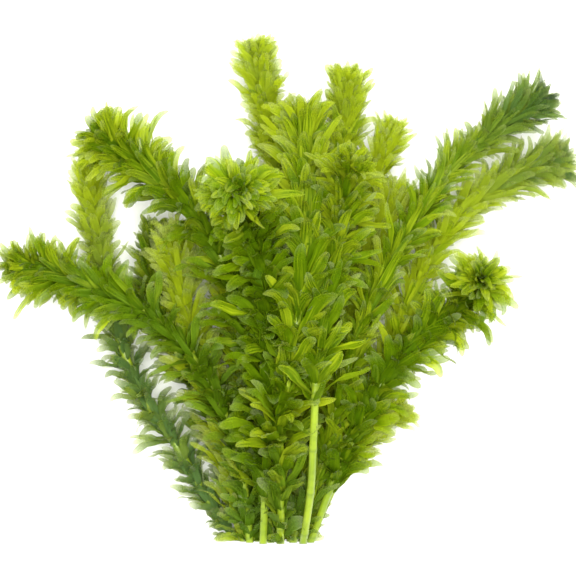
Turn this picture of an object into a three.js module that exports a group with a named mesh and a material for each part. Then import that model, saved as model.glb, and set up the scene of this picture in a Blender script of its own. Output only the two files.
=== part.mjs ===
// A cut bunch of Brazilian waterweed, lying on a flat surface.
// Each shoot is one closed solid: a slender stem that carries whorls of strap leaves up to a soft bud.
// The cut ends lie together in a narrow neck, and the shoots fan out from it in layers.
// +X runs across the bunch, +Y from the cut ends to the tips, and +Z up from the surface it lies on.
// All sizes are in millimetres and all angles in degrees.

import * as THREE from "three";

// Stem
const STEM_RADIUS = 1.7;
const BUD_STEM_RADIUS = 1.1; // just under the bud
const STEM_TAPER_LENGTH = 30; // length under the bud over which the stem thins
const COLLAR_RISE = 1.4; // height of a ring of leaf bases along the stem
const COLLAR_FLARE = 1; // how much further out its top stands at most
const COLLAR_LEAN = 0.6; // and its slope at most, against that of its leaves
const BUD_LENGTH = 4; // closed bud past the last whorl

// Whorls
const LEAVES_PER_WHORL = 4;
const FIRST_SPACING = 4.1; // between the two whorls nearest the bud
const SPACING_GROWTH = 0.068; // how much wider the whorls stand for each millimetre from the bud
const WIDEST_SPACING = 12;

// Leaves
const LEAF_LENGTH = 18; // full-grown leaf, from the middle of the stem
const LEAF_HALF_WIDTH = 2; // where the leaf parts from the stem
const LEAF_TIP_HALF_WIDTH = 1.7;
const FACING_UP = 0.6; // share by which the tip of a leaf turns its flat side up
const YOUNG_LEAF_SHARE = 0.66; // length of the leaves round the bud against a full-grown one
const YOUNG_LENGTH = 16; // length of shoot over which the leaves reach their full size
const OPENING_LENGTH = 45; // length of shoot over which the whorls open
const GATHERED_SHARE = 0.5; // how open the lowest whorls stand against those above the neck
const NECK_LENGTH = 50; // length of shoot above the cut that is gathered in the neck
const CROWDED_SHARES = [1, 0.85, 0.7, 0.55, 0.42]; // lengths that a leaf short of room is tried at
const LEAF_GAP = 0.4; // least air between two shoots

// Unevenness of a living plant, as a share of the regular value
const LENGTH_UNEVENNESS = 0.08;
const TURN_UNEVENNESS = 0.12;

// Place of the bunch
const CUT_END_Y = -102.6; // plane of the straight cut across the stems
const BOX_MIDDLE = [0.56, -0.07]; // X and Y of the middle of the bunch, which is moved to the origin

// Leaf colours
const TONES = {
  darkGreen: 0x4a7a1c,
  leafGreen: 0x658f18,
  oliveGreen: 0x72911a,
  brightGreen: 0x80a720,
  yellowGreen: 0x98b430,
};

// Every shoot: its name and tone, the stretch of stem above the cut that has lost its leaves,
// its leaf length against a full-grown one, the angles at which its leaves stand from the stem at the
// bud and on the older stretch, and its route from the cut end to the bud.
const SHOOTS = [
  {
    name: "left_outer_shoot", tone: TONES.darkGreen, bare: 1, leaf: 0.98, flare: 36, open: 48,
    route: [[-21, CUT_END_Y, 5], [-33, -83, 8], [-43, -65, 10], [-55, -47, 11], [-65, -27, 11],
      [-72, -5, 10], [-76, 15, 10], [-79, 32, 11], [-80, 49, 12]],
  },
  {
    name: "left_back_shoot", tone: TONES.darkGreen, bare: 1, leaf: 0.85, flare: 34, open: 50,
    route: [[-15, CUT_END_Y, 5], [-24, -75, 7], [-32, -50, 9], [-43, -28, 10], [-52, -8, 11],
      [-55, 8, 12], [-54, 22, 13]],
  },
  {
    name: "left_inner_shoot", tone: TONES.yellowGreen, bare: 1, leaf: 0.98, flare: 36, open: 46,
    route: [[-18, CUT_END_Y, 10.5], [-22, -80, 15], [-26, -58, 20], [-33, -36, 25], [-40, -14, 28],
      [-43, 4, 30], [-44, 18, 31]],
  },
  {
    name: "left_low_shoot", tone: TONES.oliveGreen, bare: 1, leaf: 1.02, flare: 46, open: 50,
    route: [[-15.5, CUT_END_Y, 16], [-17, -83, 22], [-21, -62, 29], [-29, -42, 35], [-40, -25, 38],
      [-54, -12, 36], [-69, -4, 30], [-84, 2, 22], [-97, 7, 16], [-108, 9, 15]],
  },
  {
    name: "left_high_shoot", tone: TONES.leafGreen, bare: 1, leaf: 1.12, flare: 42, open: 50,
    route: [[-7, CUT_END_Y, 16], [-9, -75, 24], [-11, -48, 33], [-15, -22, 40], [-21, -1, 44],
      [-30, 16, 45], [-42, 32, 41], [-56, 45, 37], [-67, 54, 35], [-77, 63, 34]],
  },
  {
    name: "middle_back_shoot", tone: TONES.leafGreen, bare: 1, leaf: 0.9, flare: 34, open: 48,
    route: [[-12, CUT_END_Y, 10.5], [-12, -76, 15], [-15, -52, 20], [-19, -30, 24], [-22, -10, 26],
      [-24, 6, 27]],
  },
  {
    name: "rosette_shoot", tone: TONES.brightGreen, bare: 27, leaf: 1.15, flare: 74, open: 56,
    route: [[-10, CUT_END_Y, 21.5], [-9, -78, 31], [-8, -52, 42], [-8, -26, 50], [-9, -3, 54],
      [-12, 17, 56], [-16, 30, 60], [-19, 36, 67], [-19, 38, 74]],
  },
  {
    name: "tall_left_shoot", tone: TONES.yellowGreen, bare: 1, leaf: 1, flare: 36, open: 44,
    route: [[-9, CUT_END_Y, 5], [-6, -75, 10], [-4, -46, 14], [-2, -16, 16], [-2, 12, 16],
      [-4, 38, 15], [-6, 58, 13], [-9, 78, 12], [-12, 97, 12]],
  },
  {
    name: "front_shoot", tone: TONES.brightGreen, bare: 20, leaf: 1, flare: 36, open: 54,
    route: [[-3, CUT_END_Y, 21.5], [-3, -78, 34], [-4, -55, 46], [0, -35, 54], [3, -16, 58],
      [6, 3, 57], [7, 21, 51], [7, 39, 42], [6, 55, 35], [6, 69, 32]],
  },
  {
    name: "floor_shoot", tone: TONES.darkGreen, bare: 1, leaf: 0.85, flare: 34, open: 44,
    route: [[-3, CUT_END_Y, 5], [2, -74, 6], [6, -46, 8], [8, -18, 9], [9, 10, 10], [10, 36, 11]],
  },
  {
    name: "tall_middle_shoot", tone: TONES.brightGreen, bare: 1, leaf: 1, flare: 36, open: 46,
    route: [[-5, CUT_END_Y, 10.5], [1, -76, 17], [5, -50, 24], [8, -24, 28], [12, 2, 28],
      [16, 26, 24], [20, 46, 18], [23, 65, 14], [24, 84, 13]],
  },
  {
    name: "bare_stem_shoot", tone: TONES.leafGreen, bare: 68, leaf: 1, flare: 50, open: 52,
    route: [[6, CUT_END_Y, 21.5], [9, -80, 37], [10, -58, 50], [11, -36, 56], [14, -12, 55],
      [18, 12, 50], [21, 32, 47], [24, 48, 48]],
  },
  {
    name: "yellow_shoot", tone: TONES.yellowGreen, bare: 1, leaf: 0.8, flare: 32, open: 40,
    route: [[3, CUT_END_Y, 5], [8, -78, 7], [13, -52, 9], [18, -26, 11], [23, 0, 12], [29, 24, 12],
      [36, 44, 12], [45, 65, 12]],
  },
  {
    name: "right_inner_shoot", tone: TONES.leafGreen, bare: 1, leaf: 0.92, flare: 34, open: 42,
    route: [[1, CUT_END_Y, 10.5], [9, -76, 14], [15, -50, 17], [21, -26, 19], [28, -4, 20],
      [36, 15, 19], [43, 33, 18]],
  },
  {
    name: "right_high_shoot", tone: TONES.darkGreen, bare: 1, leaf: 1, flare: 34, open: 42,
    route: [[2, CUT_END_Y, 16], [11, -76, 24], [18, -52, 31], [25, -28, 35], [33, -6, 36],
      [42, 13, 34], [53, 30, 29], [67, 47, 22], [83, 63, 17], [101, 77, 16]],
  },
  {
    name: "right_middle_shoot", tone: TONES.brightGreen, bare: 1, leaf: 1, flare: 42, open: 44,
    route: [[7, CUT_END_Y, 10.5], [15, -80, 15], [25, -58, 18], [35, -38, 20], [44, -19, 20],
      [51, -1, 19], [59, 16, 17], [71, 33, 14], [88, 45, 12], [109, 51, 12]],
  },
  {
    name: "right_rosette_shoot", tone: TONES.oliveGreen, bare: 1, leaf: 1.05, flare: 66, open: 46,
    route: [[9, CUT_END_Y, 16], [17, -80, 24], [25, -61, 31], [34, -43, 35], [44, -29, 34],
      [55, -18, 31], [66, -9, 30], [73, -1, 34], [75, 4, 42]],
  },
  {
    name: "right_low_shoot", tone: TONES.yellowGreen, bare: 1, leaf: 0.9, flare: 34, open: 42,
    route: [[9, CUT_END_Y, 5], [19, -80, 7], [28, -62, 9], [36, -48, 10], [44, -40, 10], [53, -35, 11]],
  },
];

// Repeatable unevenness in -1..1 from a whole number, so that no two whorls match.
function unevenness(n) {
  const s = Math.sin(n * 12.9898) * 43758.5453;
  return 2 * (s - Math.floor(s)) - 1;
}

// A smooth 0..1 rise of x over a length.
const rise = (x, length) => THREE.MathUtils.smoothstep(x, 0, length);

// Direction square to the stem at an angle round it.
function outward({ side, other }, angle) {
  return side.clone().multiplyScalar(Math.cos(angle)).addScaledVector(other, Math.sin(angle));
}

// The nodes of a shoot, bud first: where each stands and the leaves that it can grow.
// On the bare stretch above the cut the leaves have dropped off, and only the node is left.
function nodesOf(shoot, curve, length, shootNumber) {
  const nodes = [];
  const spacing = (fromBud) => Math.min(WIDEST_SPACING, FIRST_SPACING + SPACING_GROWTH * fromBud);
  for (let fromBud = BUD_LENGTH; length - fromBud > COLLAR_RISE; fromBud += spacing(fromBud)) {
    const along = length - fromBud;
    const n = shootNumber * 100 + nodes.length;
    const young = THREE.MathUtils.lerp(YOUNG_LEAF_SHARE, 1, rise(fromBud, YOUNG_LENGTH));
    const gathered = THREE.MathUtils.lerp(GATHERED_SHARE, 1, rise(along, NECK_LENGTH));
    const open = THREE.MathUtils.lerp(shoot.flare, shoot.open, rise(fromBud, OPENING_LENGTH));
    const leafAngle = THREE.MathUtils.degToRad(open * gathered);
    const radius = THREE.MathUtils.lerp(BUD_STEM_RADIUS, STEM_RADIUS, rise(fromBud, STEM_TAPER_LENGTH));
    nodes.push({
      shootNumber,
      fromBud,
      isBare: along < shoot.bare,
      centre: curve.getPointAt(along / length),
      tangent: curve.getTangentAt(along / length),
      turn: ((nodes.length % 2) + TURN_UNEVENNESS * unevenness(n)) * (Math.PI / LEAVES_PER_WHORL),
      radius,
      rimRadius: radius + Math.min(COLLAR_FLARE, COLLAR_LEAN * COLLAR_RISE * Math.tan(leafAngle)),
      leafAngle,
      leafLength: LEAF_LENGTH * shoot.leaf * young * (1 + LENGTH_UNEVENNESS * unevenness(-n)),
      leaves: [],
    });
  }
  return nodes;
}

// Two directions square to the stem at each node, carried from the cut end without twisting.
function setSideDirections(nodes) {
  let side = new THREE.Vector3(1, 0, 0);
  for (const node of [...nodes].reverse()) {
    side = side.clone().projectOnPlane(node.tangent).normalize();
    node.side = side;
    node.other = new THREE.Vector3().crossVectors(node.tangent, side);
  }
}

function growShoot(shoot, shootNumber) {
  const points = shoot.route.map((p) => new THREE.Vector3(...p));
  const curve = new THREE.CatmullRomCurve3(points, false, "catmullrom", 0.5);
  const length = curve.getLength();
  const nodes = nodesOf(shoot, curve, length, shootNumber);
  setSideDirections(nodes);
  return { shoot, shootNumber, curve, length, nodes };
}

// The room that stems and leaves already fill: balls filed by the cell of space that they stand in.
const BALL_RADIUS = 0.8; // of a point on a leaf
const BALLS_ACROSS = [-1, -0.33, 0.33, 1]; // where the balls lie across a leaf, against its half width
const CELL = 5; // at least the distance at which the largest ball can be in the way of a leaf
const MOST_CELLS = 1024; // along each axis
const cells = new Map();
const cellKey = (...cell) => cell.reduce((key, i) => key * MOST_CELLS + i + MOST_CELLS / 2, 0);
const cellOf = (point) => [point.x, point.y, point.z].map((v) => Math.floor(v / CELL));

function fill(point, radius, shootNumber, node = null) {
  const key = cellKey(...cellOf(point));
  if (!cells.has(key)) cells.set(key, []);
  cells.get(key).push({ point, radius, shootNumber, node });
}

// Whether a point on a leaf of a node is clear of everything but its own whorl and stem.
function isFree(point, node) {
  const [x, y, z] = cellOf(point);
  for (let i = x - 1; i <= x + 1; i++)
    for (let j = y - 1; j <= y + 1; j++)
      for (let k = z - 1; k <= z + 1; k++)
        for (const ball of cells.get(cellKey(i, j, k)) ?? []) {
          const isOwn = ball.shootNumber === node.shootNumber && (!ball.node || ball.node === node);
          const least = ball.radius + BALL_RADIUS + LEAF_GAP;
          if (!isOwn && ball.point.distanceTo(point) < least) return false;
        }
  return true;
}

// Points all over a leaf, close enough together that nothing slips between them.
function pointsOnLeaf(base, tip, baseAcross, tipAcross) {
  const points = [];
  const steps = Math.ceil(base.distanceTo(tip) / (1.5 * BALL_RADIUS));
  for (let i = 0; i <= steps; i++) {
    const halfWidth = THREE.MathUtils.lerp(LEAF_HALF_WIDTH, LEAF_TIP_HALF_WIDTH, i / steps);
    const across = baseAcross.clone().lerp(tipAcross, i / steps);
    for (const sideways of BALLS_ACROSS)
      points.push(base.clone().lerp(tip, i / steps).addScaledVector(across, sideways * halfWidth));
  }
  return points;
}

// The direction of a leaf's tip edge: square to the leaf, and partly turned from upright to level.
function turnedUp(across, way) {
  const level = new THREE.Vector3(0, 0, 1).cross(way).normalize();
  if (level.dot(across) < 0) level.negate();
  return across.clone().lerp(level, FACING_UP).projectOnPlane(way).normalize();
}

// The longest leaf that stays clear of the other shoots, given by the two corners of its tip, or null.
// A leaf that would reach under the surface lies down on it instead.
function growLeaf(node, angle) {
  const out = outward(node, angle);
  const across = new THREE.Vector3().crossVectors(node.tangent, out);
  const base = node.centre.clone().addScaledVector(out, node.rimRadius);
  const way = out.multiplyScalar(Math.sin(node.leafAngle))
    .addScaledVector(node.tangent, Math.cos(node.leafAngle));
  const tipAcross = turnedUp(across, way);
  for (const share of CROWDED_SHARES) {
    const tip = base.clone().addScaledVector(way, (node.leafLength - node.rimRadius) * share);
    tip.z = Math.max(tip.z, 0);
    const points = pointsOnLeaf(base, tip, across, tipAcross);
    if (!points.every((point) => isFree(point, node))) continue;
    points.forEach((point) => fill(point, BALL_RADIUS, node.shootNumber, node));
    return [-1, 1].map((sideways) => {
      const corner = tip.clone().addScaledVector(tipAcross, sideways * LEAF_TIP_HALF_WIDTH);
      corner.z = Math.max(corner.z, 0);
      return corner;
    });
  }
  return null;
}

// Fills the room of every stem, and then grows the leaves round it, the youngest first.
function growLeaves(plants) {
  for (const plant of plants) {
    const steps = Math.ceil(plant.length / STEM_RADIUS);
    for (let i = 0; i <= steps; i++)
      fill(plant.curve.getPointAt(i / steps), STEM_RADIUS + COLLAR_FLARE, plant.shootNumber);
  }
  const nodes = plants.flatMap((plant) => plant.nodes).filter((node) => !node.isBare);
  nodes.sort((a, b) => a.fromBud - b.fromBud);
  for (const node of nodes)
    for (let j = 0; j < LEAVES_PER_WHORL; j++)
      node.leaves[j] = growLeaf(node, node.turn + ((j + 0.5) * 2 * Math.PI) / LEAVES_PER_WHORL);
}

// One ring of points round the stem.
function ring(centre, axes, radius, turn) {
  return Array.from({ length: LEAVES_PER_WHORL }, (_, j) => centre.clone()
    .addScaledVector(outward(axes, turn + (j * 2 * Math.PI) / LEAVES_PER_WHORL), radius));
}

// Whether a turned leaf holds the first corner of its tip higher than the second, seen from its base
// line a-b. The upper and the lower face of the leaf are both folded towards the higher corner.
function isRaised(p, q, a, b) {
  const along = p.clone().add(q).sub(a).sub(b);
  const up = along.cross(b.clone().sub(a));
  return p.clone().sub(q).dot(up) > 0;
}

// The closed surface of one shoot: rings up the stem joined by bands, with a leaf standing on the
// band's face wherever a whorl grows one, a flat cut end and a pointed bud.
function shootGeometry({ curve, nodes }) {
  const corners = [];
  const face = (...points) => {
    for (let i = 2; i < points.length; i++) corners.push(points[0], points[i - 1], points[i]);
  };
  const join = (low, high, leaves = []) => low.forEach((a, j) => {
    const next = (j + 1) % low.length;
    const [b, c, d] = [low[next], high[next], high[j]];
    if (!leaves[j]) {
      face(a, b, c, d);
      return;
    }
    const [p, q] = leaves[j];
    face(b, c, q);
    face(d, a, p);
    if (isRaised(p, q, a, b)) {
      face(p, a, b, q);
      face(p, q, c, d);
    } else {
      face(q, p, a, b);
      face(q, c, d, p);
    }
  });
  const fromCut = [...nodes].reverse();
  const cutAxes = { side: new THREE.Vector3(1, 0, 0), other: new THREE.Vector3(0, 0, -1) };
  let last = ring(curve.getPoint(0), cutAxes, STEM_RADIUS, fromCut[0].turn);
  face(...[...last].reverse());
  for (const node of fromCut) {
    const low = ring(node.centre, node, node.radius, node.turn);
    join(last, low);
    last = low;
    if (node.isBare) continue;
    const rim = node.centre.clone().addScaledVector(node.tangent, COLLAR_RISE);
    last = ring(rim, node, node.rimRadius, node.turn);
    join(low, last, node.leaves);
  }
  const bud = curve.getPoint(1);
  last.forEach((a, j) => face(a, last[(j + 1) % last.length], bud));
  return new THREE.BufferGeometry().setFromPoints(corners);
}

function shootMesh(plant) {
  const geometry = shootGeometry(plant);
  geometry.computeVertexNormals();
  const material = new THREE.MeshStandardMaterial({
    color: plant.shoot.tone, roughness: 0.5, metalness: 0, flatShading: true,
  });
  const mesh = new THREE.Mesh(geometry, material);
  mesh.name = plant.shoot.name;
  return mesh;
}

const plants = SHOOTS.map(growShoot);
growLeaves(plants);
const bunch = new THREE.Group();
bunch.add(...plants.map(shootMesh));
bunch.position.set(-BOX_MIDDLE[0], -BOX_MIDDLE[1], 0);

export default bunch;
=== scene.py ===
"""A cut bunch of Brazilian waterweed, laid on a pale surface and seen from straight above.

Every shoot is grown from the same few laws as its solid in the frame: a stem carried along the shoot's
route, and whorls of thin leaves that stand closer, shorter and steeper towards the bud.
All lengths are in metres and all angles in radians, except where a docstring says otherwise.
"""

import math
from dataclasses import dataclass
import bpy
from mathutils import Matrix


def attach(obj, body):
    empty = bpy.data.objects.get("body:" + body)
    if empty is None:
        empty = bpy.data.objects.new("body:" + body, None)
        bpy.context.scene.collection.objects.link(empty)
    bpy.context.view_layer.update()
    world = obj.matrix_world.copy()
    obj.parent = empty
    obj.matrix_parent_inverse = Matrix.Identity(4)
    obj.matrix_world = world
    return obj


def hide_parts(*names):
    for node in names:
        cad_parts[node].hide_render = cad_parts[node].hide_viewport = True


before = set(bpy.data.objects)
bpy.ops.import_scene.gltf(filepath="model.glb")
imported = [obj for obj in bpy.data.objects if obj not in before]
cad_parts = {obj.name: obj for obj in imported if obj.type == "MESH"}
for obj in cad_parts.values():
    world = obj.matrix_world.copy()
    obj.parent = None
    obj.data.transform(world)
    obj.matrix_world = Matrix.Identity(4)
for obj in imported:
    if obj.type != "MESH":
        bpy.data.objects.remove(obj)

from types import SimpleNamespace

import bpy
import numpy as np

bl_info = {
    "name": "Waterweed bunch",
    "version": (1, 0, 0),
    "blender": (4, 5, 0),
    "location": "View3D > Sidebar > Waterweed",
    "description": "Grows a cut bunch of waterweed shoots over the solids of its frame",
    "category": "Add Mesh",
}

MM = 0.001
BOX_MIDDLE = np.array([0.56, -0.07, 0.0]) * MM  # what the frame moved to its origin
CUT_END_Y = -102.6 * MM  # plane of the straight cut, before that move
SEED = 7


@dataclass
class Shoot:
    """One shoot: its node, how it grows, and its route from the cut end to the bud in millimetres.

    bare is the stretch of stem above the cut that has lost its leaves, in millimetres. leaf and broad
    are the length and width of its leaves against full-grown ones. flare and opening are the angles in
    degrees at which leaves stand from the stem at the bud and further down. spacing is the widest step
    between two whorls in millimetres. age says how the tissue looks, from -2, pale and fresh, to 2, old
    and deep green. cool_tip and cool_foot say how blue its green is at both ends, from 0 to 1. Between
    the two heights of parted, in millimetres above the cut, the leaves leave the stem in view.
    """

    node: str
    bare: float
    leaf: float
    broad: float
    flare: float
    opening: float
    spacing: float
    # The fresh, pale tones of the low shoots under others are partly painted light against the shade they
    # lie in.
    age: float
    cool_tip: float
    cool_foot: float
    route: tuple
    parted: tuple = (0, 0)


CUT = CUT_END_Y / MM  # the plane of the cut as a route states it
SHOOTS = (
    Shoot("left_outer_shoot", 1, 0.82, 0.88, 26, 54, 2.8, -0.8, 0, 0.95, (
        (-21, CUT, 5), (-34, -83, 8), (-44.5, -65, 10), (-56.5, -47, 11), (-66, -27, 11),
        (-72, -5, 10), (-76, 15, 10), (-79, 32, 11), (-80, 49, 12))),
    Shoot("left_back_shoot", 1, 0.85, 0.75, 30, 50, 3.6, 0.9, 0.3, 0.3, (
        (-15, CUT, 5), (-24, -75, 7), (-32, -50, 9), (-43, -28, 10), (-52, -8, 11),
        (-55, 8, 12), (-54, 22, 13))),
    Shoot("left_inner_shoot", 1, 1.1, 0.95, 34, 42, 3, -1.3, 0, 0, (
        (-18, CUT, 10.5), (-22, -80, 15), (-26, -58, 20), (-33, -36, 25), (-40, -14, 28),
        (-43, 4, 30), (-44, 18, 31))),
    Shoot("left_low_shoot", 1, 1.03, 0.92, 54, 50, 2.8, 1.15, 0, 0.25, (
        (-15.5, CUT, 16), (-17, -83, 22), (-21, -62, 29), (-29, -42, 35), (-40, -25, 38),
        (-54, -12, 36), (-69, -4, 30), (-84, 2, 22), (-97, 7, 16), (-108, 9, 15))),
    Shoot("left_high_shoot", 1, 1.1, 1.05, 52, 56, 2.8, 0.95, 0, 0.08, (
        (-7, CUT, 16), (-9, -75, 24), (-11, -48, 33), (-15, -22, 40), (-21, -1, 44),
        (-29, 17, 45), (-41, 33, 41), (-55, 46, 37), (-65, 53, 35), (-74, 60, 34))),
    Shoot("middle_back_shoot", 1, 1.05, 1, 32, 42, 3, -0.3, 0.05, 0.05, (
        (-12, CUT, 10.5), (-12, -76, 15), (-15, -52, 20), (-19, -30, 24), (-22, -10, 26),
        (-24, 6, 27))),
    Shoot("rosette_shoot", 14, 1.1, 1.3, 70, 54, 4, 1.4, 0, 0, (
        (-10, CUT, 21.5), (-9, -78, 31), (-8, -52, 42), (-8, -26, 50), (-9, -3, 54),
        (-12, 17, 56), (-16, 30, 60), (-19, 36, 67), (-19, 38, 74))),
    Shoot("tall_left_shoot", 1, 0.82, 0.95, 36, 42, 3, -0.4, 0.2, 0.1, (
        (-9, CUT, 5), (-6, -75, 10), (-4, -46, 14), (-2, -16, 16), (-2, 12, 16),
        (-4, 38, 15), (-7, 58, 13), (-10, 77, 12), (-13, 95.5, 12))),
    Shoot("front_shoot", 5, 1.2, 1.25, 40, 44, 5.6, 0.6, 0.05, 0, (
        (-3, CUT, 21.5), (-3, -78, 34), (-4, -55, 46), (0, -35, 54), (3, -16, 58),
        (6, 3, 57), (7, 21, 51), (7, 39, 42), (6, 54, 35), (6, 65.5, 32)), parted=(52, 106)),
    Shoot("floor_shoot", 1, 1.05, 1, 32, 42, 3, -0.3, 0.05, 0.05, (
        (-3, CUT, 5), (2, -74, 6), (6, -46, 8), (8, -18, 9), (9, 10, 10), (10, 36, 11))),
    Shoot("tall_middle_shoot", 1, 0.9, 0.95, 30, 44, 3.2, 0, 0.12, 0, (
        (-5, CUT, 10.5), (1, -76, 17), (5, -50, 24), (8, -24, 28), (12, 2, 28),
        (16, 26, 24), (20, 46, 18), (23, 64, 14), (24, 82.5, 13))),
    Shoot("bare_stem_shoot", 68, 1.1, 1.1, 56, 42, 4, 0.8, 0, 0, (
        (6, CUT, 21.5), (9, -80, 37), (10, -58, 50), (11, -36, 56), (14, -12, 55),
        (18, 12, 50), (21, 32, 47), (24, 48, 48))),
    Shoot("yellow_shoot", 1, 0.85, 0.75, 28, 44, 3, -0.7, 0, 0, (
        (3, CUT, 5), (8, -78, 7), (13, -52, 9), (18, -26, 11), (23, 0, 12), (29, 24, 12),
        (34.5, 44, 12), (42, 63, 12))),
    Shoot("right_inner_shoot", 1, 1.2, 1, 26, 34, 3, -0.9, 0, 0, (
        (1, CUT, 10.5), (9, -76, 14), (15, -50, 17), (21, -26, 19), (28, -4, 20),
        (36, 15, 19), (43, 33, 18))),
    Shoot("right_high_shoot", 1, 1, 0.76, 34, 34, 2.5, 0.5, 1, 0.05, (
        (2, CUT, 16), (11, -76, 24), (18, -52, 31), (25, -28, 35), (33, -6, 36),
        (42, 13, 34), (53, 30, 29), (66, 48, 22), (83, 63, 17), (100, 75, 16))),
    Shoot("right_middle_shoot", 20, 1.06, 0.85, 36, 38, 2.9, -0.8, 0.8, 0, (
        (7, CUT, 10.5), (15, -80, 15), (25, -58, 18), (35, -38, 20), (44, -19, 20),
        (51, -1, 19), (59, 16, 17), (71.5, 32, 14), (88.5, 43.5, 12), (107.5, 51.5, 12))),
    Shoot("right_rosette_shoot", 22, 1, 1.1, 68, 44, 3.4, 1.1, 0, 0, (
        (9, CUT, 16), (17, -80, 24), (25, -61, 31), (34, -43, 35), (44, -29, 34),
        (55, -18, 31), (66, -9, 30), (74, -1, 34), (76.5, 4, 42))),
    Shoot("right_low_shoot", 26, 0.8, 0.85, 34, 42, 3.2, -1.3, 0, 0, (
        (9, CUT, 5), (18, -82, 7), (26, -68, 9), (33, -58, 10), (39, -53.5, 10), (46, -51, 11))),
)


def length_property(name, description, default):
    """A length that a user may change, in metres."""
    return bpy.props.FloatProperty(name=name, description=description, default=default, min=0.0,
                                   unit="LENGTH", precision=5)


def angle_property(name, description, degrees):
    """An angle that a user may change, kept in radians."""
    return bpy.props.FloatProperty(name=name, description=description, subtype="ANGLE",
                                   default=math.radians(degrees))


def share_property(name, description, default):
    """A share from 0 to 1 that a user may change."""
    return bpy.props.FloatProperty(name=name, description=description, default=default,
                                   min=0.0, max=1.0, subtype="FACTOR")


def colour_property(name, description, default):
    """A linear colour that a user may change."""
    return bpy.props.FloatVectorProperty(name=name, description=description, default=default,
                                         size=3, min=0.0, max=1.0, subtype="COLOR")


class WaterweedStem(bpy.types.PropertyGroup):
    """Sizes of the stems."""

    radius: length_property("Radius", "Radius of a full-grown stem", 1.55 * MM)
    bud_radius: length_property("Bud radius", "Radius of the stem just under the bud", 0.9 * MM)
    taper: length_property("Taper", "Length under the bud over which the stem thins", 30 * MM)
    swelling: share_property("Swelling", "How much thicker a node is than the stem", 0.13)
    node_length: length_property("Node length", "Length of the swelling at a node", 1.1 * MM)


class WaterweedLeaves(bpy.types.PropertyGroup):
    """Sizes of the leaves and of the whorls that they stand in."""

    per_whorl: bpy.props.IntProperty(name="Per whorl", description="Leaves in one whorl", default=6,
                                     min=3, max=8)
    length: length_property("Length", "Length of a full-grown leaf", 18 * MM)
    half_width: length_property("Half width", "Half the width of a full-grown leaf", 1.8 * MM)
    thickness: length_property("Thickness", "Thickness of a leaf at its midrib", 0.22 * MM)
    first_spacing: length_property("First spacing", "Between the two whorls nearest the bud", 0.6 * MM)
    recurve: angle_property("Recurve", "How far an old leaf bends back from base to tip", 72)
    facing_up: share_property("Facing up", "How far the tip of a leaf turns its flat side up", 0.85)
    pressed: share_property("Pressed", "How open leaves on the upper side stand against others", 0.95)
    gathered: share_property("Gathered", "How open the leaves stand in the neck against elsewhere", 0.5)
    neck_length: length_property("Neck length", "Length of shoot that is gathered in the neck", 50 * MM)
    unevenness: share_property("Unevenness", "How much the leaves of a whorl differ", 0.24)


class WaterweedColours(bpy.types.PropertyGroup):
    """Colours of the living tissue."""

    young: colour_property("Young leaf", "Leaf near the bud of a fresh shoot", (0.57, 0.68, 0.02))
    old: colour_property("Old leaf", "Full-grown leaf", (0.17, 0.295, 0.001))
    cool: colour_property("Cool leaf", "Leaf of a shoot with a bluer green", (0.10, 0.18, 0.06))
    bud: colour_property("Cool bud", "Bud of a shoot with a bluer green", (0.035, 0.065, 0.035))
    # Painted shade: this deep green is laid over leaves near the stem and on the upper side of a shoot;
    # the random streaks also darken towards it.
    core: colour_property("Leaf base", "Foot of a leaf, deep in its shoot", (0.05, 0.105, 0.001))
    # Partly painted highlight: besides being the paler colour of thin tissue, this colour on leaf edges
    # and far ends stands in for highlights and glow.
    pale: colour_property("Leaf edge", "Thin edge and far end of a leaf", (0.87, 0.90, 0.57))
    glow: colour_property("Glow", "Colour of light that spreads in a leaf", (0.56, 0.64, 0.02))
    clear: colour_property("Clear", "Colour of light that goes through a leaf", (0.92, 0.935, 0.88))
    stem: colour_property("Stem", "Internode of a stem", (0.19, 0.28, 0.01))
    node: colour_property("Node", "Ring where a whorl stands", (0.13, 0.20, 0.012))
    pith: colour_property("Pith", "Middle of a cut stem", (0.33, 0.41, 0.13))


class WaterweedStage(bpy.types.PropertyGroup):
    """Floor, light and camera."""

    floor_colour: colour_property("Floor colour", "Colour of the surface", (0.92, 0.92, 0.91))
    floor_size: length_property("Floor size", "Side of the square floor", 6.0)
    camera_height: length_property("Camera height", "Height of the camera over the floor", 1.2)
    sharp_height: length_property("Sharp height", "Height at which the picture has its scale", 25 * MM)
    view_width: length_property("View width", "Width seen at that height", 230.4 * MM)
    sky: bpy.props.FloatProperty(name="Sky", description="Strength of the light from all sides",
                                 default=1.0, min=0.0)
    lamp: bpy.props.FloatProperty(name="Lamp", description="Power of the overhead softbox",
                                  default=52.0, min=0.0, unit="POWER")


def smoothstep(x, length):
    """A smooth rise from 0 to 1 as x goes from 0 to length: three squares of its share less two cubes."""
    t = np.clip(x / length, 0.0, 1.0)
    return t * t * (3.0 - 2.0 * t)


def lerp(low, high, share):
    """The value at a share of the way from low to high."""
    return low + (high - low) * share


def grown(x, first, length):
    """A factor that rises smoothly from first to 1 as x goes from 0 to length."""
    return lerp(first, 1.0, smoothstep(x, length))


def uneven(rng, spread, count):
    """Factors that lie about 1 in a bell curve, none of them extreme."""
    smallest, largest = 0.4, 1.6
    return np.clip(rng.normal(1, spread, count), smallest, largest)


def unit(vectors):
    """Vectors scaled to length 1."""
    return vectors / np.linalg.norm(vectors, axis=-1, keepdims=True)


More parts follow.
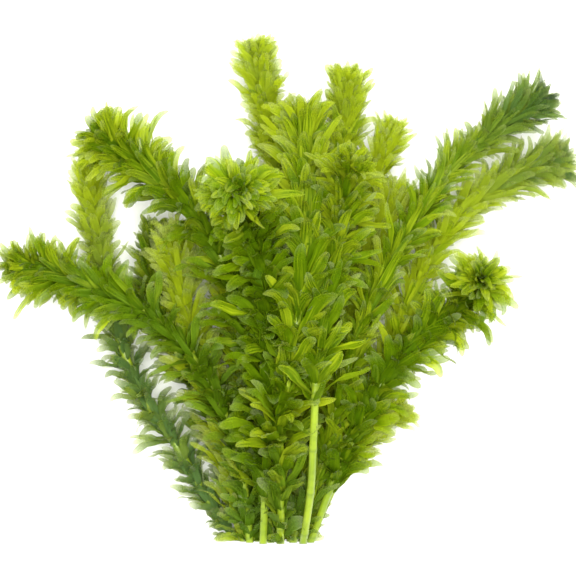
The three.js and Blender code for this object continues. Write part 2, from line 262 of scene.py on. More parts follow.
class Path:
    """A route made smooth, with the stem's direction and two side directions at each of its points.

    Between two route points the curve is the cubic whose slopes at both are half the step between the
    neighbours on either side. It is then sampled at equal steps of its own length.
    """

    STEP = 0.5 * MM
    SAMPLES_PER_SPAN = 60

    def __init__(self, route):
        points = np.array(route) * MM - BOX_MIDDLE
        points = np.vstack([2 * points[0] - points[1], points, 2 * points[-1] - points[-2]])
        t = np.linspace(0.0, 1.0, self.SAMPLES_PER_SPAN, endpoint=False)[:, None]
        before, start = points[:-3, None], points[1:-2, None]
        end, after = points[2:-1, None], points[3:, None]
        slope_in, slope_out = (end - before) / 2, (after - start) / 2
        spans = ((2 * t**3 - 3 * t**2 + 1) * start + (t**3 - 2 * t**2 + t) * slope_in
                 + (3 * t**2 - 2 * t**3) * end + (t**3 - t**2) * slope_out)
        dense = np.vstack([spans.reshape(-1, 3), points[-2]])
        steps = np.linalg.norm(np.diff(dense, axis=0), axis=1)
        travelled = np.concatenate([[0.0], np.cumsum(steps)])
        self.length = travelled[-1]
        self.along = np.linspace(0.0, self.length, round(self.length / self.STEP) + 1)
        self.points = np.stack([np.interp(self.along, travelled, c) for c in dense.T], axis=1)
        self.tangents = unit(np.gradient(self.points, axis=0))
        self.sides = self._carry_side()

    def _carry_side(self):
        """Side directions carried from the cut end without twisting, one step at a time."""
        side = np.array([1.0, 0.0, 0.0])
        sides = []
        for tangent in self.tangents:
            side = unit(side - tangent * (side @ tangent))
            sides.append(side)
        return np.array(sides)

    def at(self, along):
        """Points, tangents and the two side directions at distances from the cut end."""
        def look_up(values):
            return np.stack([np.interp(along, self.along, c) for c in values.T], axis=-1)
        tangents = unit(look_up(self.tangents))
        sides = look_up(self.sides)
        sides = unit(sides - tangents * np.sum(sides * tangents, axis=-1, keepdims=True))
        return look_up(self.points), tangents, sides, np.cross(tangents, sides)


def tube_faces(rows, sides):
    """Faces of a closed tube: a fan at its base, bands of quads between its rings and a fan at its tip.

    Its points are the base, then the rings from base to tip, then the tip.
    """
    around = np.arange(sides)
    following = (around + 1) % sides
    first = 1 + np.arange(rows - 1)[:, None] * sides
    quads = np.stack([first + around, first + following, first + sides + following,
                      first + sides + around], axis=-1).reshape(-1, 4)
    last, tip = 1 + (rows - 1) * sides, 1 + rows * sides
    fans = np.vstack([
        np.stack([np.zeros(sides, int), 1 + following, 1 + around], axis=-1),
        np.stack([last + around, last + following, np.full(sides, tip)], axis=-1),
    ])
    return fans, quads


FIRST_WHORL = 1.2 * MM  # from the bud to the whorl nearest to it
SPREADING = 0.027  # how much wider the step between whorls is for each unit of distance from the bud


def whorl_places(shoot, path, leaves):
    """Distances of the whorls from the bud, over the stretch that isn't bare.

    Each step is wider in proportion to that distance, up to the shoot's widest.
    """
    places = []
    from_bud = FIRST_WHORL
    while path.length - from_bud > shoot.bare * MM:
        places.append(from_bud)
        from_bud += min(shoot.spacing * MM, leaves.first_spacing + SPREADING * from_bud)
    return np.array(places)


# Where leaves stand
WHORL_TURN = 0.4  # most that a whorl is turned from its place, in radians
PLACE_SPREAD = 0.08  # how far a leaf is off its distance, against the shoots' unevenness
PLACE_SHIFT = 0.5 * MM
NEAREST = 0.6 * MM  # to the bud
PARTING = 0.15  # how far leaves on top of a parted stretch turn aside, as a share of the way round
PARTING_EASE = 10 * MM  # stretch over which the parting starts and ends


def place_leaves(shoot, path, leaves, rng):
    """Where every leaf of a shoot stands on its stem, and the directions there.

    The leaves of a whorl stand evenly round the stem, in the gaps of the whorl before, and each is a
    little off its place. On a parted stretch they turn away from straight up, most where they are
    nearest to it.
    """
    places = whorl_places(shoot, path, leaves)
    k = leaves.per_whorl
    whorl = np.repeat(np.arange(len(places)), k)
    count = len(whorl)
    turn = 2 * math.pi / k * (np.tile(np.arange(k), len(places)) + 0.5 * (whorl % 2))
    turn = turn + rng.normal(0, leaves.unevenness, count)
    turn = turn + np.repeat(rng.uniform(-WHORL_TURN, WHORL_TURN, len(places)), k)
    from_bud = places[whorl] * uneven(rng, PLACE_SPREAD * leaves.unevenness, count)
    from_bud = np.maximum(from_bud + rng.normal(0, PLACE_SHIFT, count), NEAREST)
    along = path.length - from_bud
    centre, tangent, side, other = path.at(along)

    up = np.arctan2(other[:, 2], side[:, 2])
    from_up = np.mod(turn - up + math.pi, 2 * math.pi) - math.pi
    low, high = (height * MM for height in shoot.parted)
    parting = PARTING * smoothstep(along - low, PARTING_EASE)
    parting = parting * (1 - smoothstep(along - high, PARTING_EASE)) * (1 - np.abs(from_up) / math.pi)
    turn = up + np.sign(from_up) * lerp(np.abs(from_up), math.pi, parting)
    out = side * np.cos(turn)[:, None] + other * np.sin(turn)[:, None]
    return SimpleNamespace(count=count, from_bud=from_bud, along=along, centre=centre, tangent=tangent,
                           out=out, across=np.cross(tangent, out))


# Growth of leaves: the share of the full value in the bud, and the distance at which it is full
BUD_GROWTH = (0.35, 4 * MM)  # of length and angle
YOUNG_LENGTH = (0.7, 16 * MM)
YOUNG_WIDTH = (0.85, 30 * MM)
YOUNG_RECURVE = (0.4, 24 * MM)
FLARED = 90 * MM  # distance from the bud at which the flare has become the opening

# Leaves just above the cut end are short and stand out
FOOT = 16 * MM
FOOT_LENGTH = 0.6
FOOT_ANGLE, FOOT_SHARE = math.radians(72), 0.8  # the angle, and how near to it the lowest leaves come

# How leaves of the same age differ
LENGTH_SPREAD, ANGLE_SPREAD, WIDTH_SPREAD = 0.6, 1.2, 0.8  # against the shoots' unevenness
RECURVE_RANGE = (0.1, 2.2)  # against the mean recurve
FACING_RANGE = (0.4, 1.6)  # against the mean turn of the flat side towards the sky
TWIST_SPREAD = 0.4  # in radians
SWEEP_SPREAD = 0.10  # how far the tip lies to one side, in lengths of the leaf
CUP_RANGE = (-0.12, 0.3)  # rise of the edges over the midrib, in half widths
BLUNTNESS_RANGE = (5.0, 14.0)  # power that rounds the tip
OPEN_ANGLE = math.radians(54)  # opening at which leaves bend back by the whole recurve


def shape_leaves(shoot, leaves, leaf, rng):
    """Adds the size, angle and bend of every leaf to its place.

    Length, width, angle and bend grow with the distance from the bud. In the neck the leaves stand
    closer to the stem, and the bend is in proportion to how open they stand.
    """
    in_bud = grown(leaf.from_bud, *BUD_GROWTH)
    foot = 1 - smoothstep(leaf.along, FOOT)
    length = leaves.length * shoot.leaf * grown(leaf.from_bud, *YOUNG_LENGTH) * in_bud
    length = length * uneven(rng, LENGTH_SPREAD * leaves.unevenness, leaf.count)
    leaf.length = length * lerp(1.0, FOOT_LENGTH, foot)

    opening = np.radians(lerp(shoot.flare, shoot.opening, smoothstep(leaf.from_bud, FLARED)))
    opening = opening * grown(leaf.along, leaves.gathered, leaves.neck_length)
    angle = lerp(opening * in_bud, FOOT_ANGLE, FOOT_SHARE * foot)
    angle = angle * uneven(rng, ANGLE_SPREAD * leaves.unevenness, leaf.count)
    recurve = leaves.recurve * opening / OPEN_ANGLE * rng.uniform(*RECURVE_RANGE, leaf.count)
    recurve = recurve * grown(leaf.from_bud, *YOUNG_RECURVE)
    pressed = lerp(1.0, leaves.pressed, np.clip(leaf.out[:, 2], 0, 1))
    leaf.angle, leaf.recurve = angle * pressed, recurve * pressed

    leaf.twist = rng.normal(0, TWIST_SPREAD, leaf.count)
    leaf.sweep = rng.normal(0, SWEEP_SPREAD, leaf.count)
    leaf.cup = rng.uniform(*CUP_RANGE, leaf.count)
    half_width = leaves.half_width * shoot.broad * grown(leaf.from_bud, *YOUNG_WIDTH)
    leaf.half_width = half_width * uneven(rng, WIDTH_SPREAD * leaves.unevenness, leaf.count)
    leaf.bluntness = rng.uniform(*BLUNTNESS_RANGE, (leaf.count, 1))
    leaf.phase = rng.uniform(0, 2 * math.pi, (2, leaf.count, 1))
    leaf.facing = leaves.facing_up * rng.uniform(*FACING_RANGE, (leaf.count, 1))


ROOTED = 0.6  # where midlines start, in radii of the stem
STRAIGHT_SHARE = 0.4  # part of the recurve by which a leaf starts steeper than its angle
WAVE, WAVE_TURN = 0.2, 2.6 * math.pi  # sway of a leaf's angle in radians, and its turn from base to tip
TWIST_POWER = 1.5  # of s, by which a leaf twists


def leaf_midlines(leaf, stem, s):
    """Midlines of all leaves at shares s of their length, with the directions across and up there.

    A leaf's angle to its stem grows with the square of s by its recurve, and sways a little. The midline
    is the running sum of short steps at that angle, and bends aside with the square of s. The blade's
    width turns from lying across the shoot to level in proportion to s, and twists besides.
    The distance outward from the stem is given too.
    """
    out, tangent, across = leaf.out[:, None], leaf.tangent[:, None], leaf.across[:, None]

    def angle_at(share):
        wave = WAVE * np.sin(WAVE_TURN * share + leaf.phase[0])
        first = leaf.angle - STRAIGHT_SHARE * leaf.recurve
        return first[:, None] + leaf.recurve[:, None] * share**2 + wave

    steps = np.diff(s) * leaf.length[:, None]
    between = angle_at((s[1:] + s[:-1]) / 2)
    none = np.zeros((leaf.count, 1))
    outward = np.concatenate([none, np.cumsum(np.sin(between) * steps, axis=1)], axis=1)
    upward = np.concatenate([none, np.cumsum(np.cos(between) * steps, axis=1)], axis=1)
    radius = lerp(stem.bud_radius, stem.radius, smoothstep(leaf.from_bud, stem.taper))
    start = leaf.centre + leaf.out * (radius * ROOTED)[:, None]
    sweep = (leaf.sweep * leaf.length)[:, None, None]
    midline = (start[:, None] + out * outward[..., None] + tangent * upward[..., None]
               + across * sweep * (s**2)[None, :, None])

    angle = angle_at(s)[..., None]
    way = out * np.sin(angle) + tangent * np.cos(angle)
    level = np.cross([0.0, 0.0, 1.0], unit(np.sum(way, axis=1)))
    level *= np.where(np.sum(level * leaf.across, axis=1) < 0, -1, 1)[:, None]
    facing = (leaf.facing * s)[..., None]
    wide = across * (1 - facing) + level[:, None] * facing
    wide = unit(wide - way * np.sum(wide * way, axis=-1, keepdims=True))
    face = np.cross(way, wide)
    twist = (leaf.twist[:, None] * s**TWIST_POWER)[..., None]
    cosine, sine = np.cos(twist), np.sin(twist)
    return midline, wide * cosine + face * sine, face * cosine - wide * sine, outward


LEAF_ROWS = 8  # rings of points between the base and the tip of a leaf
LEAF_SIDES = 4  # points in a ring: its two edges, its upper and its lower side
LEAF_POINTS = LEAF_ROWS * LEAF_SIDES + 2
RING_TURNS = 2 * math.pi * np.arange(LEAF_SIDES) / LEAF_SIDES  # of its points round the midline
CROWDED_TO_TIP = 1.4  # power that sets the rings closer towards the tip
WAIST = (0.8, 0.3)  # width at the base against the widest, and the s at which it is widest
TAPER, THINNING = 0.25, 0.7  # how much narrower and thinner a leaf is at its tip
RIPPLE, RIPPLE_TURN = 0.25, 5 * math.pi  # height of the ripple in half widths, and its turn


def leaf_rings(leaf, leaves, s, midline, wide, face):
    """Points of all leaves: the base, the rings along the blade and the tip of each.

    A ring is a flat lens across the midline. Its half width swells from the waist, tapers with the
    square of s, and closes in a round end: the root of 1 less s to the power of the bluntness. Both
    edges rise with the cup, and one rises as the other sinks with the ripple.
    """
    s = s[1:-1]
    x, z = np.cos(RING_TURNS), np.sin(RING_TURNS)
    reach = leaf.half_width[:, None] * grown(s, *WAIST) * (1 - TAPER * s**2)
    reach = reach * np.sqrt(1 - s**leaf.bluntness)
    depth = 0.5 * leaves.thickness * (1 - THINNING * s**2)
    ripple = RIPPLE * np.sin(RIPPLE_TURN * s + leaf.phase[1]) * reach
    cup = leaf.cup[:, None] * reach
    rise = cup[..., None] * x**2 + ripple[..., None] * x + depth[None, :, None] * z
    rings = (midline[:, 1:-1, None] + wide[:, 1:-1, None] * (reach[..., None] * x)[..., None]
             + face[:, 1:-1, None] * rise[..., None])
    return np.concatenate([midline[:, :1], rings.reshape(leaf.count, -1, 3), midline[:, -1:]], axis=1)


# How the colour of leaves changes along a shoot
AGED = 75 * MM  # distance from the bud at which leaves look old
OLD_FOOT, OLD_FOOT_AGE = 44 * MM, 0.4  # stretch above the cut that looks older still, and by how much
BUD_TINT = 9 * MM  # stretch of a cool bud's own colour
AGE_BY_PLACE, AGE_BY_SHOOT, AGE_OFFSET = 0.6, 0.6, -0.15
AGE_SPREAD, COOL_SPREAD = 0.3, 0.1
# Paleness of leaf edges and far ends: partly the thin tissue's own colour, partly painted highlight.
PALE_CURVE = (1.2, 2.4)  # the beta curve that says how many leaves are how pale
PALE_WHEN_OLD = 0.7  # factor for a shoot whose age is 1
PALE_WHEN_FRESH = 0.3  # what a shoot whose age is -1 has more: partly painted light, which lifts the low fresh shoots that lie in shade
TOP_START = 10 * MM  # distance from the bud by which leaves on top differ from those beside
TOP_PALE, TOP_PAINTED_SHADE = 0.5, 0.9  # how much less pale leaves on top are, and how much painted shade they get, to darken the upper side
PAINTED_SHADE_REACH = 11 * MM  # distance from the stem over which painted shade darkens a leaf
# Strength of the painted shade: its mean, its change with a shoot's age, and its limits.
PAINTED_SHADE_MEAN, PAINTED_SHADE_BY_AGE, PAINTED_SHADE_LIMITS = 0.45, 0.55, (0.2, 1.1)


def leaf_tones(shoot, leaf, s, outward, rng):
    """The values that colour all leaves, one for each of their points.

    u runs across a leaf and v from its base to its tip. age and cool change with the distance from the
    bud, and both rise at the foot. pale is a beta curve of chance: partly the paler thin tissue and
    partly painted highlight. It is higher in a fresh shoot, partly as painted light on low shoots that
    lie in shade, and lower on top of a shoot as painted shade. The last value is painted shade: it falls
    from 1 with the distance from the stem, is high on top of the shoot to darken its upper side, and is
    weaker in a fresh shoot.
    """
    down = smoothstep(leaf.from_bud, AGED)
    foot = OLD_FOOT_AGE * (1 - smoothstep(leaf.along, OLD_FOOT))
    age = AGE_BY_PLACE * down + foot + AGE_BY_SHOOT * shoot.age + AGE_OFFSET
    age = age + rng.normal(0, AGE_SPREAD, leaf.count)
    cool = lerp(shoot.cool_tip, shoot.cool_foot, down) + foot + rng.normal(0, COOL_SPREAD, leaf.count)
    cool = np.clip(cool, 0, 1) + shoot.cool_tip * (1 - smoothstep(leaf.from_bud, BUD_TINT))
    pale = rng.beta(*PALE_CURVE, leaf.count) * lerp(1.0, PALE_WHEN_OLD, shoot.age)
    pale = np.clip(pale - PALE_WHEN_FRESH * min(shoot.age, 0), 0, 1)
    # The upper side of a shoot gets painted shade: its leaves are made darker and less pale.
    on_top = np.clip(leaf.out[:, 2], 0, 1) * smoothstep(leaf.from_bud, TOP_START)
    from_stem = np.concatenate([outward[:, :1], np.repeat(outward[:, 1:-1], LEAF_SIDES, axis=1),
                                outward[:, -1:]], axis=1)
    # Painted shade: darkest near the stem and on the upper side, and weaker in a fresh shoot.
    core = np.maximum(1 - smoothstep(from_stem, PAINTED_SHADE_REACH), TOP_PAINTED_SHADE * on_top[:, None])
    core = core * np.clip(PAINTED_SHADE_MEAN + PAINTED_SHADE_BY_AGE * shoot.age, *PAINTED_SHADE_LIMITS)
    u = np.concatenate([[0.5], np.tile(0.5 + 0.5 * np.cos(RING_TURNS), LEAF_ROWS), [0.5]])
    v = np.concatenate([[0.0], np.repeat(s[1:-1], LEAF_SIDES), [1.0]])
    return {
        "u": np.tile(u, leaf.count),
        "v": np.tile(v, leaf.count),
        "age": np.repeat(np.clip(age, 0, 1), LEAF_POINTS),
        "cool": np.repeat(cool, LEAF_POINTS),
        "pale": np.repeat(pale * (1 - TOP_PALE * on_top), LEAF_POINTS),
        "core": core.ravel(),
    }


def grow_leaves(shoot, path, leaves, stem, rng):
    """All leaves of a shoot: points, triangles, quads, and the values that colour the points.

    Every leaf is a closed tube of the same few faces, whose rings lie at shares s of its length.
    """
    leaf = place_leaves(shoot, path, leaves, rng)
    shape_leaves(shoot, leaves, leaf, rng)
    s = 1 - (1 - np.linspace(0.0, 1.0, LEAF_ROWS + 2)) ** CROWDED_TO_TIP
    midline, wide, face, outward = leaf_midlines(leaf, stem, s)
    points = leaf_rings(leaf, leaves, s, midline, wide, face).reshape(-1, 3)
    fans, quads = tube_faces(LEAF_ROWS, LEAF_SIDES)
    starts = (np.arange(leaf.count) * LEAF_POINTS)[:, None, None]
    triangles, quads = (fans + starts).reshape(-1, 3), (quads + starts).reshape(-1, 4)
    return points, triangles, quads, leaf_tones(shoot, leaf, s, outward, rng)


STEM_SIDES = 10
STEM_STEP = 0.8 * MM
CAP = 1.5 * MM  # rounded end of the stem in the bud
CAP_SHARES = np.array([1.0, 0.8, 0.6, 0.4, 0.22, 0.1, 0.02])  # distances of its rings from the top
CUT_EASE = 5 * MM  # stretch over which the rings turn from the plane of the cut to square
SCAR_STEP = 21 * MM  # between the nodes of a bare stretch
NODE_RING = 0.6  # width of a node's dark ring against its swelling
DARK_BUD = 10 * MM  # stretch over which painted shade darkens the stem towards the bud
STEM_AGED = 90 * MM  # distance from the bud at which the stem looks old


def grow_stem(shoot, path, stem, node_places):
    """The stem of a shoot as rings round its route, from a flat cut end to a rounded bud.

    The radius thins under the bud, closes there as a quarter ellipse, and swells at each node by a bell
    curve of the distance to it. The first rings lean until the lowest lies in the plane of the cut.
    """
    along = np.concatenate([np.arange(0.0, path.length - CAP, STEM_STEP), path.length - CAP * CAP_SHARES])
    from_bud = path.length - along
    radius = lerp(stem.bud_radius, stem.radius, smoothstep(from_bud, stem.taper))
    nearest = np.min(np.abs(from_bud[:, None] - node_places[None, :]), axis=1)
    radius = radius * (1 + stem.swelling * np.exp(-((nearest / stem.node_length) ** 2)))
    radius = radius * np.sqrt(np.clip(1 - (1 - np.minimum(from_bud / CAP, 1)) ** 2, 0, 1))
    centre, tangent, side, other = path.at(along)
    turn = (2 * math.pi * np.arange(STEM_SIDES) / STEM_SIDES)[None, :, None]
    spokes = side[:, None] * np.cos(turn) + other[:, None] * np.sin(turn)
    rings = centre[:, None] + spokes * radius[:, None, None]
    lean = (centre[:, None, 1] - rings[..., 1]) / tangent[:, None, 1]
    lean = lean * (1 - smoothstep(along, CUT_EASE))[:, None]
    rings = rings + tangent[:, None] * lean[..., None]
    points = np.vstack([centre[:1], rings.reshape(-1, 3), path.points[-1:]])

    rows = len(along)
    triangles, quads = tube_faces(rows, STEM_SIDES)
    node_and_bud_shade = np.exp(-((nearest / (NODE_RING * stem.node_length)) ** 2))
    # Painted shade: towards the bud the stem takes the dark node colour.
    node_and_bud_shade = np.maximum(node_and_bud_shade, 1 - smoothstep(from_bud, DARK_BUD))
    values = {
        "u": np.concatenate([[0.0], np.tile(np.arange(STEM_SIDES) / STEM_SIDES, rows), [0.0]]),
        "v": np.concatenate([[0.0], np.repeat(node_and_bud_shade, STEM_SIDES), [0.0]]),
        "age": np.concatenate([[1.0], np.repeat(smoothstep(from_bud, STEM_AGED), STEM_SIDES), [0.0]]),
        "cool": np.zeros(len(points)),
        "pale": np.concatenate([[1.0], np.zeros(len(points) - 1)]),
        "core": np.zeros(len(points)),
    }
    return points, triangles, quads, values


def join(first, second):
    """Two sets of points, triangles, quads and values as one, with 1 for each face of the second."""
    offset = len(first[0])
    values = {key: np.concatenate([first[3][key], second[3][key]]) for key in first[3]}
    is_second = np.repeat([0, 1, 0, 1], [len(first[1]), len(second[1]), len(first[2]), len(second[2])])
    return (np.vstack([first[0], second[0]]), np.vstack([first[1], second[1] + offset]),
            np.vstack([first[2], second[2] + offset]), values, is_second)


FLOOR_MARGIN = 1.6 * MM  # height under which leaves are pressed by the floor
FLOOR_GIVE = 4 * MM  # sinking that presses a leaf to a third of its margin
DEEPEST = 30 * MM  # sinking past which nothing changes
CROWN = 76 * MM  # height above which leaves bend level
CROWN_GIVE = 4.5 * MM  # most that they rise over it


def keep_in_place(points):
    """Presses the leaves into the room of the bunch: over the floor, under the crown, behind the cut.

    A height under the margin becomes the margin times a falling exponential, so it never reaches the
    floor. A height over the crown nears the crown and its give by the same curve. What stands past the
    plane of the cut is moved back to it.
    """
    low = points[:, 2] < FLOOR_MARGIN
    sunk = np.maximum(points[low, 2] - FLOOR_MARGIN, -DEEPEST)
    points[low, 2] = FLOOR_MARGIN * np.exp(sunk / FLOOR_GIVE)
    high = points[:, 2] > CROWN
    points[high, 2] = CROWN + CROWN_GIVE * (1 - np.exp((CROWN - points[high, 2]) / CROWN_GIVE))
    points[:, 1] = np.maximum(points[:, 1], CUT_END_Y - BOX_MIDDLE[1])
    return points


TONES = ("age", "cool", "pale", "core")
SHARPEST = math.radians(70)  # the widest turn between two faces that still looks smooth


def mesh_object(name, points, triangles, quads, values, material_of_face, materials):
    """A smooth-shaded mesh with its colour values as attributes and its u and v as a UV map."""
    mesh = bpy.data.meshes.new(name)
    mesh.from_pydata(points.tolist(), [], triangles.tolist() + quads.tolist())
    for material in materials:
        mesh.materials.append(material)
    mesh.polygons.foreach_set("material_index", material_of_face)
    mesh.polygons.foreach_set("use_smooth", np.ones(len(mesh.polygons), bool))
    corners = np.empty(len(mesh.loops), dtype=np.int32)
    mesh.loops.foreach_get("vertex_index", corners)
    uv = np.stack([values["u"][corners], values["v"][corners]], axis=-1)
    mesh.uv_layers.new(name="UVMap").data.foreach_set("uv", uv.astype(np.float32).ravel())
    for key in TONES:
        attribute = mesh.attributes.new(key, "FLOAT", "POINT")
        attribute.data.foreach_set("value", values[key].astype(np.float32))
    mesh.set_sharp_from_angle(angle=SHARPEST)
    mesh.update()
    piece = bpy.data.objects.new(name, mesh)
    bpy.context.scene.collection.objects.link(piece)
    return piece


class Signal:
    """A shader socket that can be added, multiplied and so on, each time by a new Math node."""

    def __init__(self, recipe, socket):
        self.recipe = recipe
        self.socket = socket

    def _math(self, operation, *operands):
        return self.recipe.node("ShaderNodeMath", {"operation": operation}, *operands)

    def __add__(self, other):
        return self._math("ADD", self, other)

    def __sub__(self, other):
        return self._math("SUBTRACT", self, other)

    def __rsub__(self, other):
        return self._math("SUBTRACT", other, self)

    def __mul__(self, other):
        return self._math("MULTIPLY", self, other)

    def __pow__(self, other):
        return self._math("POWER", self, other)

    def __abs__(self):
        return self._math("ABSOLUTE", self)

    __radd__ = __add__
    __rmul__ = __mul__


class Recipe:
    """A material under construction."""

    def __init__(self, name):
        self.material = bpy.data.materials.new(name)
        self.material.use_nodes = True
        self.tree = self.material.node_tree
        self.tree.nodes.clear()

    def node(self, kind, settings, *values, output=0, **named):
        """A node with its settings made first, then its sockets in order or by name. None skips one."""
        made = self.tree.nodes.new(kind)
        for key, value in settings.items():
            setattr(made, key, value)
        by_name = ((made.inputs[key.replace("_", " ")], value) for key, value in named.items())
        for socket, value in (*zip(made.inputs, values), *by_name):
            if isinstance(value, Signal):
                self.tree.links.new(value.socket, socket)
            elif value is not None:
                socket.default_value = value
        return Signal(self, made.outputs[output]) if made.outputs else None

    def attribute(self, name):
        """A number stored with the mesh."""
        return self.node("ShaderNodeAttribute", {"attribute_name": name}, output=2)

    def uv(self):
        """The two coordinates of the UV map."""
        uv_map = self.node("ShaderNodeUVMap", {"uv_map": "UVMap"})
        u = self.node("ShaderNodeSeparateXYZ", {}, uv_map)
        return u, Signal(self, u.socket.node.outputs["Y"])

    def between(self, value, low, high):
        """A smooth rise from 0 to 1 as a value goes from low to high."""
        smooth = {"interpolation_type": "SMOOTHSTEP"}
        return self.node("ShaderNodeMapRange", smooth, value, low, high, 0.0, 1.0)

    def noise(self, scale, detail, place=None):
        """A soft random pattern from 0 to 1, fixed to the object or to another place."""
        place = place or self.node("ShaderNodeTexCoord", {}, output=3)
        return self.node("ShaderNodeTexNoise", {}, Vector=place, Scale=scale, Detail=detail)

    def mix(self, share, first, second):
        """A colour at a share of the way from the first to the second."""
        not_colours = [None] * 5
        return self.node("ShaderNodeMix", {"data_type": "RGBA"}, share, *not_colours, first, second,
                         output=2)

    def finish(self, surface):
        """Ends the material in its surface."""
        self.node("ShaderNodeOutputMaterial", {}, surface)
        return self.material


def rgba(colour):
    """A colour property as four numbers."""
    return (*colour, 1.0)


def leaf_material(colours):
    """Thin leaf tissue with fine streaks and ribs along it, in which light glows.

    Its colour goes from young to old green with age. Painted shade darkens it near the stem and on the
    upper side of a shoot. It is paler at the far end and the edges, partly as thin tissue and partly as
    painted highlight.
    Some light passes straight through, most at the far end, so one leaf over the floor looks pale and
    many leaves over each other look deep green.
    """
    r = Recipe("leaf_tissue")
    u, v = r.uv()
    age, cool, pale, core = (r.attribute(name) for name in TONES)
    off_middle = abs(u * 2.0 - 1.0)

    streaks_across, leaves_apart, streak_size = 5.0, 40.0, 1.6
    lengthwise = r.node("ShaderNodeCombineXYZ", {}, u * streaks_across, v, age * leaves_apart)
    streaks = r.between(r.noise(streak_size, 1.0, lengthwise), 0.35, 0.65)
    mottles_per_metre = 75.0
    oldness = age + r.noise(mottles_per_metre, 1.0) * 0.6 + streaks * 0.55 - 0.6
    warm = r.mix(r.between(oldness, 0.0, 1.0), rgba(colours.young), rgba(colours.old))
    green = r.mix(cool, warm, rgba(colours.cool))
    # Painted shade near the stem and on the upper side deepens the green, together with the random
    # streaks.
    deep = r.mix(core * 0.75 + streaks * 0.35, green, rgba(colours.core))
    deep = r.mix(r.between(cool, 1.0, 2.0), deep, rgba(colours.bud))
    # Paler towards the far end and the edges: partly the thin tissue's colour, partly painted highlight.
    thinness_and_highlight = r.between(v * 0.85 + off_middle**3.0 * 0.08 + pale * 0.5, 0.74, 1.45)
    colour = r.mix(thinness_and_highlight * (0.58 - cool * 0.1), deep, rgba(colours.pale))

    rib_turns, midrib_half_width = 30.0, 0.14
    ribs = r.node("ShaderNodeMath", {"operation": "SINE"}, off_middle * rib_turns)
    midrib = 1.0 - r.between(off_middle, 0.0, midrib_half_width)
    relief = r.node("ShaderNodeBump", {}, Strength=0.3, Distance=0.12 * MM,
                    Height=ribs * 0.16 - midrib * 0.9)
    tissue = r.node("ShaderNodeBsdfPrincipled", {}, Base_Color=colour, Roughness=0.5, Normal=relief,
                    Specular_IOR_Level=0.03)
    glow = r.node("ShaderNodeBsdfTranslucent", {}, Color=rgba(colours.glow))
    glowing = 0.55 - age * 0.1 - cool * 0.2 - core * 0.3
    blade = r.node("ShaderNodeMixShader", {}, glowing, tissue, glow)
    clear = r.node("ShaderNodeBsdfTransparent", {}, Color=rgba(colours.clear))
    clearness = r.between(v, 0.2, 1.2) * 0.64 + pale * 0.3 + 0.03
    return r.finish(r.node("ShaderNodeMixShader", {}, clearness, blade, clear))


def stem_material(colours):
    """Stem tissue: smooth yellow-green internodes, darker rings at the nodes, painted shade towards the
    bud, and a pale cut end.
    """
    r = Recipe("stem_tissue")
    u, node_ring_and_bud_shade = r.uv()
    age, cut = r.attribute("age"), r.attribute("pale")
    grains_per_metre, patches_per_metre, ridge_count = 420.0, 45.0, 9
    grain = r.noise(grains_per_metre, 3.0)
    oldness = age * 0.3 + r.noise(patches_per_metre, 1.0) * 0.8 + 0.2
    internode = r.mix(oldness, rgba(colours.young), rgba(colours.stem))
    mottled = r.mix(r.between(grain, 0.4, 0.75) * 0.5, internode, rgba(colours.node))
    # Dark rings at the nodes, and painted shade towards the bud.
    ringed = r.mix(node_ring_and_bud_shade * 0.85, mottled, rgba(colours.node))
    colour = r.mix(r.between(cut, 0.2, 0.7), ringed, rgba(colours.pith))
    ridges = r.node("ShaderNodeMath", {"operation": "SINE"}, u * (2 * math.pi * ridge_count))
    relief = r.node("ShaderNodeBump", {}, Strength=0.3, Distance=0.1 * MM, Height=ridges * 0.4 + grain)
    return r.finish(r.node("ShaderNodeBsdfPrincipled", {}, Base_Color=colour,
                           Roughness=grain * 0.2 + 0.3, Normal=relief, IOR=1.4,
                           Coat_Weight=0.15, Coat_Roughness=0.2))


class WATERWEED_OT_grow_shoots(bpy.types.Operator):
    """Grow every shoot of the bunch over its solid"""

    bl_idname = "waterweed.grow_shoots"
    bl_label = "Grow shoots"

    def execute(self, context):
        scene = context.scene
        stem, leaves, colours = scene.waterweed_stem, scene.waterweed_leaves, scene.waterweed_colours
        tissues = [leaf_material(colours), stem_material(colours)]
        for number, shoot in enumerate(SHOOTS):
            rng = np.random.default_rng(SEED + number)
            path = Path(shoot.route)
            whorls = whorl_places(shoot, path, leaves)
            nodes = np.concatenate([whorls, np.arange(whorls[-1], path.length, SCAR_STEP)])
            points, *faces_and_values = join(grow_leaves(shoot, path, leaves, stem, rng),
                                             grow_stem(shoot, path, stem, nodes))
            name = shoot.node.replace("_shoot", "_sprig")
            piece = mesh_object(name, keep_in_place(points), *faces_and_values, tissues)
            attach(piece, "root")
            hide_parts(shoot.node)
        return {"FINISHED"}


SOFTBOX_SIZE = 1.4
SOFTBOX_PLACE = (0.1, 0.2, 1.6)
SOFTBOX_TILT = (math.radians(-7), math.radians(4), 0.0)


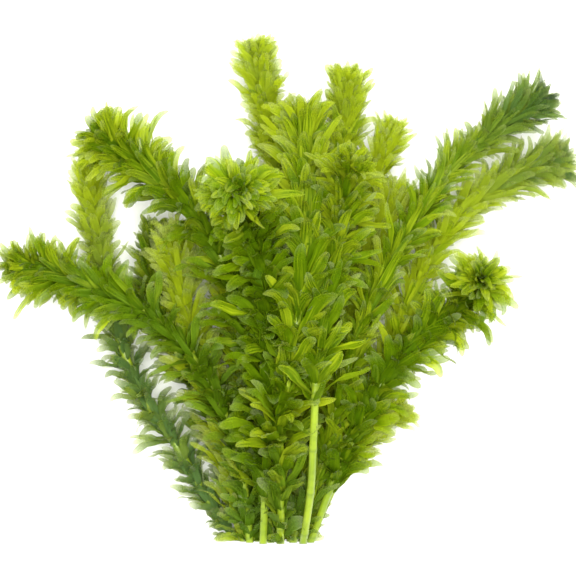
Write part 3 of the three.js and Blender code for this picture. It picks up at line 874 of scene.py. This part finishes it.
class WATERWEED_OT_set_stage(bpy.types.Operator):
    """Lay the floor, hang the lights and set the camera over the bunch"""

    bl_idname = "waterweed.set_stage"
    bl_label = "Set stage"

    def execute(self, context):
        scene, stage = context.scene, context.scene.waterweed_stage
        half = stage.floor_size / 2
        corners = [(-half, -half, 0), (half, -half, 0), (half, half, 0), (-half, half, 0)]
        mesh = bpy.data.meshes.new("floor")
        mesh.from_pydata(corners, [], [(0, 1, 2, 3)])
        floor = bpy.data.objects.new("floor", mesh)
        scene.collection.objects.link(floor)
        r = Recipe("pale_floor")
        mesh.materials.append(r.finish(r.node("ShaderNodeBsdfPrincipled", {},
                                              Base_Color=rgba(stage.floor_colour), Roughness=0.8)))

        world = bpy.data.worlds.new("soft_room")
        world.use_nodes = True
        background = world.node_tree.nodes["Background"]
        background.inputs["Color"].default_value = (1.0, 1.0, 1.0, 1.0)
        background.inputs["Strength"].default_value = stage.sky
        scene.world = world

        lamp = bpy.data.lights.new("softbox", "AREA")
        lamp.shape = "DISK"
        lamp.size = SOFTBOX_SIZE
        lamp.energy = stage.lamp
        softbox = bpy.data.objects.new("softbox", lamp)
        softbox.location = SOFTBOX_PLACE
        softbox.rotation_euler = SOFTBOX_TILT
        scene.collection.objects.link(softbox)

        data = bpy.data.cameras.new("camera")
        distance = stage.camera_height - stage.sharp_height
        data.lens = data.sensor_width * distance / stage.view_width
        data.clip_start = 0.01
        camera = bpy.data.objects.new("camera", data)
        camera.location = (-BOX_MIDDLE[0], -BOX_MIDDLE[1], stage.camera_height)
        scene.collection.objects.link(camera)
        scene.camera = camera
        scene.view_settings.view_transform = "Standard"
        return {"FINISHED"}


class WATERWEED_PT_panel(bpy.types.Panel):
    """Sizes and colours of the bunch, and the buttons that make it"""

    bl_idname = "WATERWEED_PT_panel"
    bl_label = "Waterweed bunch"
    bl_space_type = "VIEW_3D"
    bl_region_type = "UI"
    bl_category = "Waterweed"

    def draw(self, context):
        for operator in (WATERWEED_OT_set_stage, WATERWEED_OT_grow_shoots):
            self.layout.operator(operator.bl_idname)
        for name, group in SETTINGS.items():
            box = self.layout.box()
            box.label(text=group.__doc__)
            for key in group.__annotations__:
                box.prop(getattr(context.scene, name), key)


SETTINGS = {
    "waterweed_stem": WaterweedStem,
    "waterweed_leaves": WaterweedLeaves,
    "waterweed_colours": WaterweedColours,
    "waterweed_stage": WaterweedStage,
}
CLASSES = (*SETTINGS.values(), WATERWEED_OT_grow_shoots, WATERWEED_OT_set_stage, WATERWEED_PT_panel)


def register():
    for made in CLASSES:
        bpy.utils.register_class(made)
    for name, group in SETTINGS.items():
        setattr(bpy.types.Scene, name, bpy.props.PointerProperty(type=group))


def unregister():
    for name in SETTINGS:
        delattr(bpy.types.Scene, name)
    for made in reversed(CLASSES):
        bpy.utils.unregister_class(made)


def main():
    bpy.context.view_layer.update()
    register()
    bpy.ops.waterweed.set_stage()
    bpy.ops.waterweed.grow_shoots()


if __name__ == "__main__":
    main()
